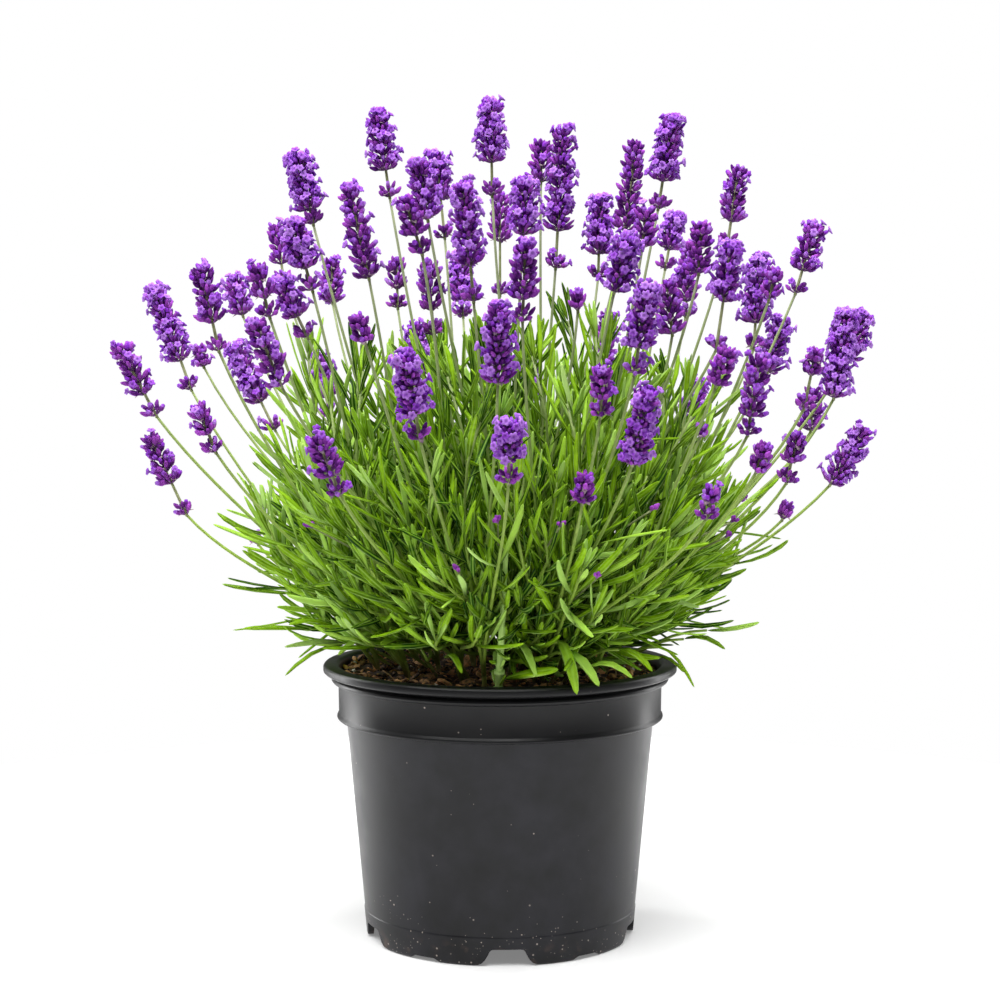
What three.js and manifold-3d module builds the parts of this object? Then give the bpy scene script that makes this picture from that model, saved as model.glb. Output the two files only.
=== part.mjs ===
// Potted lavender: a round nursery pot filled with soil, with stems, leaves and
// flower heads. Millimetres, +Z up. The origin is on the pot's axis, at the level
// that its feet stand on, and the photographed side faces -Y.
import * as THREE from "three";
import { mergeVertices } from "three/addons/utils/BufferGeometryUtils.js";
import Module from "manifold-3d";

const wasm = await Module();
wasm.setup();

// ---------------------------------------------------------------- dimensions

// Pot: 19 cm rim, thin moulded wall, a collar below the rolled lip.
const POT_HEIGHT = 147;
const LIP_RADIUS = 95;
const LIP_DEPTH = 6.5;
const COLLAR_TOP = [87.3, 136.7]; // radius, height
const COLLAR_FOOT = [86.1, 119.8];
const BODY_TOP = [82.5, 116.6];
const BODY_FOOT = [72, 1];
const WALL = 1.6;
const FOOT_FLAT = [68.8, 71.4]; // inner and outer radius of the flat it stands on
const FLOOR_UNDERSIDE = 10;
const FLOOR_THICKNESS = 2;
const POT_SIDES = 36;

// Base: five deep drain notches with a shallow recess midway between each two.
const NOTCH_COUNT = 5;
const NOTCH_ANGLE = THREE.MathUtils.degToRad(-87);
const NOTCH_HEIGHT = 8.9;
const NOTCH_TOP_WIDTH = 15;
const NOTCH_FOOT_WIDTH = 27;
const RECESS_HEIGHT = 2;
const RECESS_WIDTH = 15;
const DRAIN_RADIUS = 5;
const DRAIN_RING = 56;

// Soil: it fills the pot up to 10 mm below the rim, with gentle lumps.
const SOIL_LEVEL = 136.4;
const SOIL_LUMP = 1;
const SOIL_RINGS = 3;
const CLEARANCE = 0.3;

// Stems: they stand in plain holes in the soil, spread like sunflower seeds.
const STEM_COUNT = 19;
const STEM_SPREAD = 66;
const STEM_RADIUS = 2.3;
const STEM_RISE = 34;
const STEM_SHOULDER = 0.3; // share of the rise where a stem turns outwards
const STEM_LEAN = 0.42;
const STEM_SIDES = 5;
const STEM_STEPS = 3;
const HOLE_DEPTH = 12;
const HOLE_PLAY = 2.2;

// Stalks: each leaves a stem part of the way up it and carries one flower head.
const STALK_RADIUS = 1.3;
const STALK_SIDES = 3;
const STALK_STEPS = 4;
const STALK_START = [0.55, 0.95]; // lowest and highest share of a stem's length
const STALK_LEAD = 0.3; // share of its reach that it keeps to its stem's line
const STALK_RUN_IN = 0.38; // share of its reach that it keeps to its head's line
const STALK_BENDS = [1, 0.7, 1.4, 0.45];
const ROOT_PULL = 0.34; // a stalk looks for its stem this near the axis, as a share
const NEAR_STEMS = 6;

// Leaves: narrow, blunt, arched blades in opposite pairs.
const LEAF_LENGTH = 42;
const LEAF_WIDTH = 5.4;
const LEAF_THICKNESS = 1.2;
const LEAF_WIDEST = 0.6;
const LEAF_MARGIN = 2.2;
const LEAF_AHEAD = 0.75; // how far a leaf points along its shoot, against outwards
const LEAF_DROOPS = [0.3, 0.1, -0.1];
const LEAFY_SHARE = 0.5; // share of the stalks that carry a pair
const STALK_LEAVES = [0.15, 0.6]; // lowest and highest share of a stalk's length
const STEM_LEAVES = 0.9;
const LOW_LEAF = 0.62;
const FOLIAGE_TOP = 322;
const FOLIAGE_RADIUS = 152;

// Flower heads: whorls of pointed buds round a thin axis.
const BUDS = 5;
const WHORL_PITCH = 7.5;
const WHORL_RADIUS = 9;
const AXIS_RADIUS = 2.3;
const NECK_RADIUS = 1.1;
const HEAD_TAPER = 0.42;
const BUD_RISE = 0.12; // a bud's point above its row, in pitches
const CROWN = 0.4; // the pointed end above the last whorl, in pitches
const LONE_WHORL = { height: 0.6, budTop: 0.9, reach: 0.72 }; // shares of pitch and radius
const HEAD_CLEARANCE = 10.6;
const HEAD_SPACING = 18.8;
const DEPTH_LEAN = 0.55;

// Each head: tip x, y and z, its lean to the right in degrees, its length, and the
// bare stretch down to the lone whorl below it, 0 where it has none.
const LARGE_HEADS = [
  [-201, -20, 319, -27, 32, 12],
  [-189, 30, 349, -20, 44, 16],
  [-152, -60, 359, -11, 32, 14],
  [-154, 101, 356, -15, 24, 0],
  [-130, 112, 388, -8, 26, 11],
  [-108, 0, 419, -13, 32, 7],
  [-104, -70, 380, -15, 26, 11],
  [-100, 134, 368, -3, 28, 0],
  [-78, -40, 400, -12, 50, 0],
  [-66, 20, 443, -8, 33, 14],
  [-113, -45, 351, -25, 22, 11],
  [-116, -140, 330, -20, 28, 8],
  [-150, 60, 317, -27, 37, 17],
  [-190, 10, 270, -25, 31, 18],
  [-86, -157, 277, -19, 25, 10],
  [-41, -70, 410, -9, 31, 0],
  [-36, 70, 425, -6, 28, 21],
  [-46, -123, 389, -17, 21, 9],
  [-37, -40, 361, -4, 27, 12],
  [-18, -112, 397, -5, 43, 17],
  [-5, 0, 447, -1, 34, 17],
  [0, 112, 406, 0, 31, 31],
  [13, -60, 401, 3, 29, 0],
  [23, 50, 431, 1, 25, 0],
  [33, -20, 431, 3, 55, 19],
  [12, -146, 367, 2, 30, 10],
  [57, 80, 401, 2, 34, 13],
  [73, 10, 427, 7, 50, 0],
  [75, -50, 389, 6, 23, 0],
  [63, -112, 371, 15, 30, 0],
  [91, -10, 437, 9, 35, 14],
  [-1, -168, 337, 0, 40, 0],
  [-44, -168, 315, -9, 33, 13],
  [70, -134, 347, 7, 33, 13],
  [4, -179, 284, 0, 22, 12],
  [69, -157, 298, 10, 41, 0],
  [101, 101, 392, 11, 22, 11],
  [102, -60, 381, 2, 28, 0],
  [112, 134, 378, 4, 38, 9],
  [128, 10, 414, 8, 32, 13],
  [84, -60, 351, -7, 29, 0],
  [116, -70, 369, 7, 31, 24],
  [145, 60, 367, 4, 39, 14],
  [169, 5, 383, 16, 28, 12],
  [110, -123, 317, 17, 21, 0],
  [161, 80, 332, 17, 33, 0],
  [127, -101, 314, 6, 34, 9],
  [185, 0, 336, 8, 48, 0],
  [198, 22, 335, 20, 28, 0],
  [176, 60, 294, 5, 26, 0],
  [196, 0, 274, 31, 37, 0],
  [-110, 157, 312, -12, 30, 12],
  [-52, 170, 330, -6, 34, 10],
  [18, 177, 308, 2, 28, 14],
  [66, 166, 338, 7, 36, 0],
  [120, 151, 296, 13, 31, 12],
  [-24, 157, 372, -3, 32, 9],
];
const SMALL_HEADS = [
  [-169, 60, 318, -15, 14, 0],
  [-122, -75, 359, -13, 20, 9],
  [-68, -146, 333, -17, 16, 0],
  [-153, -70, 289, -19, 19, 9],
  [-139, 60, 213, -20, 9, 0],
  [-58, 60, 367, -2, 20, 10],
  [38, -80, 346, -4, 12, 0],
  [48, -146, 309, 1, 19, 8],
  [40, -157, 259, 5, 18, 0],
  [141, -50, 358, 11, 18, 0],
  [160, -60, 317, 10, 16, 17],
  [154, -50, 274, 11, 19, 10],
  [129, -112, 271, 14, 17, 0],
  [143, 112, 234, 20, 10, 0],
  [158, 20, 233, 21, 12, 0],
  [101, -146, 253, 9, 12, 8],
  [103, -60, 279, 7, 9, 0],
];

// ------------------------------------------------------------------- helpers

const MERGE_DISTANCE = 1e-4;
const { degToRad, lerp } = THREE.MathUtils;
const UP = new THREE.Vector3(0, 0, 1);

// Seeded draws from 0 to 1, the same in every run.
function seededRandom(seed) {
  let state = seed;
  return () => {
    state = (state * 16807) % 2147483647;
    return state / 2147483647;
  };
}

function point(x, y, z) {
  return new THREE.Vector3(x, y, z);
}

// The point at a distance from a start in a direction.
function along(start, direction, distance) {
  return start.clone().addScaledVector(direction, distance);
}

// A closed geometry as a solid. The triangles that shrink to nothing at a lathe's
// axis are left out.
function solidOf(geometry) {
  const bare = new THREE.BufferGeometry();
  bare.setAttribute("position", geometry.getAttribute("position"));
  bare.setIndex(geometry.getIndex());
  const merged = mergeVertices(bare, MERGE_DISTANCE);
  const corners = merged.getIndex().array;
  const triVerts = [];
  for (let i = 0; i < corners.length; i += 3) {
    const [a, b, c] = corners.slice(i, i + 3);
    if (a !== b && b !== c && c !== a) {
      triVerts.push(a, b, c);
    }
  }
  return new wasm.Manifold(
    new wasm.Mesh({
      numProp: 3,
      vertProperties: merged.getAttribute("position").array,
      triVerts: new Uint32Array(triVerts),
    }),
  );
}

// The largest connected body of a solid, as a geometry.
function geometryOf(solid) {
  const bodies = solid.decompose();
  bodies.sort((a, b) => b.volume() - a.volume());
  const { vertProperties, triVerts } = bodies[0].getMesh();
  const geometry = new THREE.BufferGeometry();
  geometry.setAttribute("position", new THREE.BufferAttribute(vertProperties, 3));
  geometry.setIndex(new THREE.BufferAttribute(triVerts, 1));
  geometry.computeVertexNormals();
  return geometry;
}

// A solid of revolution about Z from a profile of radius and height pairs.
function lathe(profile, sides) {
  const points = profile.map(([radius, height]) => new THREE.Vector2(radius, height));
  return new THREE.LatheGeometry(points, sides).rotateX(Math.PI / 2);
}

// A closed skin over rings of points that run counterclockwise about the way ahead.
// It closes on an end point at either end. Where peaks has a row of points, each
// cell between two rings is raised to its point.
function skin(start, rings, end, peaks = []) {
  const count = rings[0].length;
  const triangles = [];
  for (let j = 0; j < count; j += 1) {
    const next = (j + 1) % count;
    triangles.push([start, rings[0][next], rings[0][j]]);
    triangles.push([end, rings.at(-1)[j], rings.at(-1)[next]]);
    for (let k = 0; k + 1 < rings.length; k += 1) {
      const cell = [rings[k][j], rings[k][next], rings[k + 1][next], rings[k + 1][j]];
      if (peaks[k]) {
        cell.forEach((corner, i) => triangles.push([corner, cell[(i + 1) % 4], peaks[k][j]]));
      } else {
        triangles.push([cell[0], cell[1], cell[2]], [cell[0], cell[2], cell[3]]);
      }
    }
  }
  const geometry = new THREE.BufferGeometry().setFromPoints(triangles.flat());
  return mergeVertices(geometry, MERGE_DISTANCE);
}

// Two directions square to an axis, so that (first, second, axis) is right-handed.
function crossDirections(axis) {
  const helper = Math.abs(axis.x) < 0.7 ? point(1, 0, 0) : point(0, 1, 0);
  const first = helper.cross(axis).normalize();
  return [first, axis.clone().cross(first)];
}

function regularShape(sides, radius) {
  const corners = Array.from({ length: sides }, (_, i) => {
    const angle = (2 * Math.PI * i) / sides;
    return new THREE.Vector2(radius * Math.cos(angle), radius * Math.sin(angle));
  });
  return new THREE.Shape(corners);
}

// ----------------------------------------------------------------------- pot

function drainNotch(height, topWidth, footWidth) {
  const reach = 20;
  const below = 2;
  const shape = new THREE.Shape();
  shape.moveTo(-footWidth / 2, -below);
  shape.lineTo(footWidth / 2, -below);
  shape.lineTo(footWidth / 2, 0);
  shape.lineTo(topWidth / 2, height);
  shape.lineTo(-topWidth / 2, height);
  shape.lineTo(-footWidth / 2, 0);
  return new THREE.ExtrudeGeometry(shape, { depth: reach, bevelEnabled: false })
    .rotateX(Math.PI / 2)
    .translate(0, reach - BODY_TOP[0], 0);
}

function potGeometry() {
  const lipFoot = POT_HEIGHT - LIP_DEPTH;
  const floorTop = FLOOR_UNDERSIDE + FLOOR_THICKNESS;
  const profile = [
    [0, FLOOR_UNDERSIDE],
    [FOOT_FLAT[0] + 0.6, FLOOR_UNDERSIDE],
    [FOOT_FLAT[0], 0],
    [FOOT_FLAT[1], 0],
    BODY_FOOT,
    BODY_TOP,
    COLLAR_FOOT,
    COLLAR_TOP,
    [LIP_RADIUS - 1.2, lipFoot],
    [LIP_RADIUS, lipFoot + 1.6],
    [LIP_RADIUS, POT_HEIGHT - 2.4],
    [LIP_RADIUS - 1.2, POT_HEIGHT - 0.6],
    [LIP_RADIUS - 3, POT_HEIGHT],
    [COLLAR_TOP[0] + 0.6, POT_HEIGHT],
    [COLLAR_TOP[0] - 0.8, POT_HEIGHT - 1.6],
    ...innerWall(0),
    [0, floorTop],
  ];
  let pot = solidOf(lathe(profile, POT_SIDES));
  const pitch = (2 * Math.PI) / NOTCH_COUNT;
  for (let i = 0; i < NOTCH_COUNT; i += 1) {
    const angle = NOTCH_ANGLE + i * pitch;
    const turn = angle + Math.PI / 2;
    const notch = drainNotch(NOTCH_HEIGHT, NOTCH_TOP_WIDTH, NOTCH_FOOT_WIDTH);
    const recess = drainNotch(RECESS_HEIGHT, RECESS_WIDTH, RECESS_WIDTH);
    const drain = new THREE.CylinderGeometry(DRAIN_RADIUS, DRAIN_RADIUS, 3 * FLOOR_THICKNESS, 8)
      .rotateX(Math.PI / 2)
      .translate(0, -DRAIN_RING, FLOOR_UNDERSIDE + FLOOR_THICKNESS / 2);
    pot = pot
      .subtract(solidOf(notch.rotateZ(turn)))
      .subtract(solidOf(recess.rotateZ(turn + pitch / 2)))
      .subtract(solidOf(drain.rotateZ(turn)));
  }
  return geometryOf(pot);
}

// The wall's inner side from the top down, drawn in by a clearance for the soil.
function innerWall(clearance) {
  const floorTop = FLOOR_UNDERSIDE + FLOOR_THICKNESS;
  const rise = WALL / 2;
  const inset = WALL + clearance;
  const slope = (BODY_TOP[0] - BODY_FOOT[0]) / (BODY_TOP[1] - BODY_FOOT[1]);
  return [
    [COLLAR_TOP[0] - inset, COLLAR_TOP[1]],
    [COLLAR_FOOT[0] - inset, COLLAR_FOOT[1] + rise + clearance],
    [BODY_TOP[0] - inset, BODY_TOP[1] + rise + clearance],
    [BODY_FOOT[0] + slope * (floorTop - BODY_FOOT[1]) - inset, floorTop + clearance],
  ];
}

// ---------------------------------------------------------------------- soil

function soilHeight(x, y) {
  const swell = Math.sin(x / 9 + 0.8) * Math.cos(y / 8);
  const ripple = Math.sin(x / 5 - y / 4);
  return SOIL_LEVEL + SOIL_LUMP * (swell + ripple / 2);
}

function soilGeometry(roots) {
  const [[edge], ...wall] = innerWall(CLEARANCE);
  const rings = Array.from({ length: SOIL_RINGS }, (_, i) => [
    (edge * (SOIL_RINGS - i)) / SOIL_RINGS,
    SOIL_LEVEL,
  ]);
  const foot = [0, wall.at(-1)[1]];
  const shape = lathe([foot, ...wall.reverse(), ...rings, [0, SOIL_LEVEL]], POT_SIDES);
  const corners = shape.getAttribute("position");
  for (let i = 0; i < corners.count; i += 1) {
    if (corners.getZ(i) > SOIL_LEVEL - CLEARANCE) {
      corners.setZ(i, soilHeight(corners.getX(i), corners.getY(i)));
    }
  }
  let soil = solidOf(shape);
  const holeRadius = STEM_RADIUS + HOLE_PLAY;
  for (const root of roots) {
    const hole = new THREE.CylinderGeometry(holeRadius, holeRadius, 2 * HOLE_DEPTH, 6)
      .rotateX(Math.PI / 2)
      .translate(root.x, root.y, root.z);
    soil = soil.subtract(solidOf(hole));
  }
  return geometryOf(soil);
}

// -------------------------------------------------------------- flower heads

// A row of the lists above as a head: its axis runs from its foot to its tip.
function headFrom([x, y, z, lean, length, drop]) {
  const depthLean = DEPTH_LEAN * Math.atan2(y, z - SOIL_LEVEL);
  const axis = point(Math.tan(degToRad(lean)), Math.tan(depthLean), 1).normalize();
  return { tip: point(x, y, z), axis, length, drop };
}

// The line down the middle of a head, from its foot to its tip.
function headLine({ tip, axis, length, drop }) {
  return new THREE.Line3(along(tip, axis, -length - drop), tip);
}

function lineGap(one, other) {
  const here = new THREE.Vector3();
  const there = new THREE.Vector3();
  const steps = 6;
  let gap = Infinity;
  for (let i = 0; i <= steps; i += 1) {
    one.at(i / steps, here);
    other.closestPointToPoint(here, true, there);
    gap = Math.min(gap, here.distanceTo(there));
  }
  return gap;
}

// Heads that would touch are moved apart in depth, which keeps the front view.
function spreadInDepth(heads) {
  const rounds = 40;
  for (let round = 0; round < rounds; round += 1) {
    heads.forEach((one, i) => {
      for (const other of heads.slice(i + 1)) {
        const lack = HEAD_SPACING - lineGap(headLine(one), headLine(other));
        if (lack > 0) {
          const step = one.tip.y < other.tip.y ? -lack : lack;
          one.tip.y += step / 2;
          other.tip.y -= step / 2;
        }
      }
    });
  }
}

// A head's skin. Its rows of cells are raised to pointed buds, and the stretch
// between the lone whorl and the rest stays bare.
function headGeometry({ tip, axis, length, drop }) {
  const foot = along(tip, axis, -length - drop);
  const [first, second] = crossDirections(axis);
  const onRing = (height, radius, angle) =>
    along(foot, axis, height)
      .addScaledVector(first, radius * Math.cos(angle))
      .addScaledVector(second, radius * Math.sin(angle));
  const column = (2 * Math.PI) / BUDS;
  const rings = [];
  const peaks = [];
  const addRing = (height, radius) => {
    const twist = (rings.length * column) / 2;
    rings.push(
      Array.from({ length: BUDS }, (_, j) => onRing(height, radius, j * column + twist)),
    );
  };
  // Buds on the row above the newest ring, standing out by reach.
  const addBuds = (height, reach) => {
    const twist = (rings.length * column) / 2 + column / 4;
    peaks[rings.length - 1] = Array.from({ length: BUDS }, (_, j) =>
      onRing(height, reach, j * column + twist),
    );
  };
  if (drop > 0) {
    addRing(0, NECK_RADIUS);
    addBuds(WHORL_PITCH * LONE_WHORL.budTop, WHORL_RADIUS * LONE_WHORL.reach);
    addRing(WHORL_PITCH * LONE_WHORL.height, NECK_RADIUS);
  }
  const whorls = Math.max(1, Math.round(length / WHORL_PITCH - CROWN));
  const pitch = length / (whorls + CROWN);
  addRing(drop, NECK_RADIUS);
  for (let k = 1; k <= whorls; k += 1) {
    const taper = 1 - (HEAD_TAPER * (k - 1)) / whorls;
    addBuds(drop + pitch * (k + BUD_RISE), WHORL_RADIUS * taper);
    addRing(drop + pitch * k, AXIS_RADIUS * taper);
  }
  return skin(foot, rings, tip, peaks);
}

// --------------------------------------------------- stems, stalks and leaves

function stemRoots() {
  const goldenAngle = Math.PI * (3 - Math.sqrt(5));
  return Array.from({ length: STEM_COUNT }, (_, i) => {
    const radius = STEM_SPREAD * Math.sqrt((i + 0.5) / STEM_COUNT);
    const x = radius * Math.cos(i * goldenAngle);
    const y = radius * Math.sin(i * goldenAngle);
    return point(x, y, soilHeight(x, y));
  });
}

// A stem leaves its hole upright and then leans away from the pot's axis.
function stemCurve(root) {
  const outward = point(root.x, root.y, 0).divideScalar(STEM_SPREAD);
  const foot = along(root, UP, CLEARANCE - HOLE_DEPTH);
  const shoulder = along(root, UP, STEM_RISE * STEM_SHOULDER);
  const top = along(along(root, UP, STEM_RISE), outward, STEM_LEAN * STEM_RISE);
  return new THREE.QuadraticBezierCurve3(foot, shoulder, top);
}

function rod(curve, sides, radius, steps) {
  const shape = regularShape(sides, radius);
  return new THREE.ExtrudeGeometry(shape, { steps, extrudePath: curve });
}

// The least distance from a point to any of the lines.
function clearance(place, lines) {
  const nearest = new THREE.Vector3();
  const distances = lines.map((line) => {
    line.closestPointToPoint(place, true, nearest);
    return nearest.distanceTo(place);
  });
  return Math.min(...distances);
}

// A stalk leaves a stem at a share of the stem's length and ends in line with its
// head. Of the nearest stems and a few bends, it takes the first that passes the
// other heads clear, or else the clearest.
function stalkCurve(head, stems, lines, startShare) {
  const line = headLine(head);
  const others = lines.filter((other) => other.end.distanceTo(line.end) > 0);
  const end = along(line.start, head.axis, -CLEARANCE);
  const aim = point(end.x, end.y, 0).multiplyScalar(ROOT_PULL).setZ(SOIL_LEVEL);
  const nearest = [...stems].sort(
    (a, b) => a.v0.distanceTo(aim) - b.v0.distanceTo(aim),
  );
  let best = null;
  for (const bend of STALK_BENDS) {
    for (const stem of nearest.slice(0, NEAR_STEMS)) {
      const start = stem.getPoint(startShare);
      const reach = start.distanceTo(end);
      const curve = new THREE.CubicBezierCurve3(
        start,
        along(start, stem.getTangent(1), STALK_LEAD * reach * bend),
        along(end, head.axis, -STALK_RUN_IN * reach * bend),
        end,
      );
      const room = Math.min(...curve.getPoints(24).map((place) => clearance(place, others)));
      if (room > HEAD_CLEARANCE) {
        return curve;
      }
      if (!best || room > best.room) {
        best = { curve, room };
      }
    }
  }
  return best.curve;
}

// A three-sided blade: flat above with a keel below, widest past its middle, and
// arched outwards and down. Its root is sunk in what it grows from.
function leafPath(root, direction, length, droop) {
  const tip = along(along(root, direction, length), UP, -droop * length);
  return new THREE.QuadraticBezierCurve3(root, along(root, direction, length / 2), tip);
}

function leafGeometry(path, width) {
  const middle = path.getPoint(LEAF_WIDEST);
  const ahead = path.getTangent(LEAF_WIDEST);
  const side = ahead.clone().cross(UP).normalize();
  const keel = along(middle, ahead.clone().cross(side), LEAF_THICKNESS);
  const ring = [along(middle, side, -width / 2), along(middle, side, width / 2), keel];
  return skin(path.v0, [ring], path.v2);
}

// A leaf fits where its blade stays clear of the heads, the soil and the pot.
function leafFits(path, lines) {
  return path.getPoints(8).every((place) => {
    const radius = Math.hypot(place.x, place.y);
    const overPot = radius < LIP_RADIUS + LEAF_MARGIN;
    const floor = radius < COLLAR_TOP[0] - LEAF_MARGIN ? SOIL_LEVEL : POT_HEIGHT;
    const clearOfPot = !overPot || place.z > floor + LEAF_MARGIN;
    return clearOfPot && clearance(place, lines) > HEAD_CLEARANCE;
  });
}

// A pair of leaves on opposite sides of a shoot, each tried at a few droops.
function leafPair(curve, part, turn, lines) {
  const root = curve.getPoint(part);
  const ahead = curve.getTangent(part);
  const [first, second] = crossDirections(ahead);
  const leaves = [];
  for (const side of [0, Math.PI]) {
    const outward = first
      .clone()
      .multiplyScalar(Math.cos(turn + side))
      .addScaledVector(second, Math.sin(turn + side));
    const direction = along(outward, ahead, LEAF_AHEAD).normalize();
    const paths = LEAF_DROOPS.map((droop) => leafPath(root, direction, LEAF_LENGTH, droop));
    const path = paths.find((candidate) => leafFits(candidate, lines));
    if (path) {
      leaves.push(leafGeometry(path, LEAF_WIDTH));
    }
  }
  return leaves;
}

function nearestTo(place, curves) {
  const byDistance = (a, b) => a.v0.distanceTo(place) - b.v0.distanceTo(place);
  return [...curves].sort(byDistance)[0];
}

// A low leaf that grows through the next stem's foot, as crowded leaves do.
function reachingLeaf(stem, other) {
  const root = stem.getPoint(LOW_LEAF);
  const target = other.getPoint(LOW_LEAF);
  const direction = target.clone().sub(root).normalize();
  return leafGeometry(leafPath(root, direction, LEAF_LENGTH, 0), LEAF_WIDTH);
}

// The height that leaves reach, a dome over the pot.
function foliageHeight(place) {
  const share = Math.min(1, Math.hypot(place.x, place.y) / FOLIAGE_RADIUS);
  return SOIL_LEVEL + (FOLIAGE_TOP - SOIL_LEVEL) * Math.sqrt(1 - share * share);
}

function greeneryGeometry(roots, heads, smallHeads) {
  const random = seededRandom(20240611);
  const stems = roots.map(stemCurve);
  const lines = [...heads, ...smallHeads].map(headLine);
  const pieces = stems.map((stem) => rod(stem, STEM_SIDES, STEM_RADIUS, STEM_STEPS));
  stems.forEach((stem, i) => {
    pieces.push(...leafPair(stem, STEM_LEAVES, Math.PI * random(), lines));
    if (i > 0) {
      pieces.push(reachingLeaf(stem, nearestTo(stem.v0, stems.slice(0, i))));
    }
  });
  for (const head of [...heads, ...smallHeads]) {
    const curve = stalkCurve(head, stems, lines, lerp(...STALK_START, random()));
    pieces.push(rod(curve, STALK_SIDES, STALK_RADIUS, STALK_STEPS));
    const part = lerp(...STALK_LEAVES, random());
    const place = curve.getPoint(part);
    if (random() < LEAFY_SHARE && place.z < foliageHeight(place)) {
      pieces.push(...leafPair(curve, part, Math.PI * random(), lines));
    }
  }
  for (const head of smallHeads) {
    pieces.push(headGeometry({ ...head, length: head.length + 2 * CLEARANCE }));
  }
  return geometryOf(wasm.Manifold.union(pieces.map(solidOf)));
}

// ------------------------------------------------------------------ assembly

function mesh(name, geometry, color, roughness) {
  const material = new THREE.MeshStandardMaterial({ color, roughness, metalness: 0 });
  const part = new THREE.Mesh(geometry, material);
  part.name = name;
  return part;
}

const heads = LARGE_HEADS.map(headFrom);
const smallHeads = SMALL_HEADS.map(headFrom);
spreadInDepth([...heads, ...smallHeads]);
const roots = stemRoots();

const lavender = new THREE.Group();
lavender.add(mesh("pot", potGeometry(), 0x2c2c2e, 0.45));
lavender.add(mesh("soil", soilGeometry(roots), 0x3a2418, 1));
lavender.add(mesh("greenery", greeneryGeometry(roots, heads, smallHeads), 0x5f8f24, 0.6));
heads.forEach((head, i) => {
  const name = `flower_head_${String(i + 1).padStart(2, "0")}`;
  lavender.add(mesh(name, headGeometry(head), 0x4a1780, 0.7));
});

export default lavender;
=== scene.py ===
import math
import random
from functools import partial
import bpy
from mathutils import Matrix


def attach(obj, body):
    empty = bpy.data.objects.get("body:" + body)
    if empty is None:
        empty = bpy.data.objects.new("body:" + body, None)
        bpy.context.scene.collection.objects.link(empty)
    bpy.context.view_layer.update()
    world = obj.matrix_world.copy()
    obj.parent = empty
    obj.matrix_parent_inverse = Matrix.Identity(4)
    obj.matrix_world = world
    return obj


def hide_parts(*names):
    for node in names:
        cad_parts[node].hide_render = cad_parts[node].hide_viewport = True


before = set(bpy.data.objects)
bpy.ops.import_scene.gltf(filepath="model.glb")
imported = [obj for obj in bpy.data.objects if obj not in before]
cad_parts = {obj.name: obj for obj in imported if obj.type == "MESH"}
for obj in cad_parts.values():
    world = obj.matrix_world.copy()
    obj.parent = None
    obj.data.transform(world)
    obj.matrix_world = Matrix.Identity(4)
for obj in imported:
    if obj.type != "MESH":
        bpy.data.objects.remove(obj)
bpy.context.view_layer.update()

from types import SimpleNamespace

import bmesh
import bpy
from mathutils import Matrix, Vector, noise

# Potted lavender. Everything is worked out in millimetres, with +Z up and the origin
# under the pot's middle, and scaled to metres when a piece is finished.
MM = 0.001
UP = Vector((0, 0, 1))

# ---- sizes

# Pot
POT_HEIGHT = 147
POT_STEPS = 192
# Radius and height, from the axis below the floor, round the lip, to the axis inside.
POT_PROFILE = [
    (0, 10), (69.4, 10), (68.8, 0), (71.4, 0), (72.2, 1.2),
    (73.5, 14.8), (73.2, 15.3), (82.5, 117.0), (86.7, 117.4), (87.7, 118.2),
    (87.6, 119.2), (86.7, 120.6), (86.9, 136.6), (89.9, 137.4), (90.7, 138.6),
    (90.3, 139.8), (88.9, 140.8), (88.9, 142.0), (93.9, 142.2), (95, 143.2),
    (95, 145.6), (94.2, 146.7), (92.6, 147),
    (88.2, 147), (86.8, 146.3), (86.2, 145), (85.7, 136.7), (84.5, 120.6),
    (80.9, 117.4), (71.4, 12), (0, 12),
]
EDGE_ROUNDING = 0.35
EDGE_ANGLE = math.radians(24)  # a ring that turns by more than this is rounded
SHARP_ANGLE = math.radians(38)
NOTCH_COUNT = 5
NOTCH_ANGLE = math.radians(-87)
# Half of a notch's outline across and up, from the foot to the middle of its top.
NOTCH_OUTLINE = [
    (17.5, -2), (17.5, 0), (15.2, 0.35), (13.2, 1.4), (11.6, 3.0), (9.9, 6.0), (9.2, 7.6),
    (8.3, 8.6), (6.9, 8.9),
]
RECESS_OUTLINE = [(10.5, -2), (10.5, 0), (8.8, 0.3), (7.2, 1.5), (5.8, 2.0)]
CUTTER_REACH = (62, 84)
DRAIN_RADIUS = 5
DRAIN_RING = 56
DRAIN_CUT = (11, 8)  # height of the cut's middle, and its depth

# Soil and what lies on it
SOIL_LEVEL = 136.4
LITTER_DEPTH = 5.5
SOIL_EDGE = 85.4
SOIL_FOOT = [(0, 12.3), (71.1, 12.3), (80.6, 117.7), (84.2, 120.9)]
SOIL_RINGS = 40
SOIL_STEPS = 160
CLOD_SIZE = 9
CLOD_RISE = 1.5
LITTER_REACH = 84
LITTER_HEIGHTS = (-0.6, 1.8)
WALL_ROOM = 1.5
BARK_CHIPS = 760
CHIP_LENGTHS = (2, 3, 4, 5.5, 9)
CHIP_SLIMNESS = (0.12, 0.38)  # half width, as a share of the length
PERLITE_GRAINS = 55
PERLITE_SIZES = (1.2, 2.8)
COIR_FIBRES = 90
FIBRE_LENGTHS = (8, 22)
FIBRE_RADII = (0.2, 0.45)
FIBRE_RISES = (1.5, 5)

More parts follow.
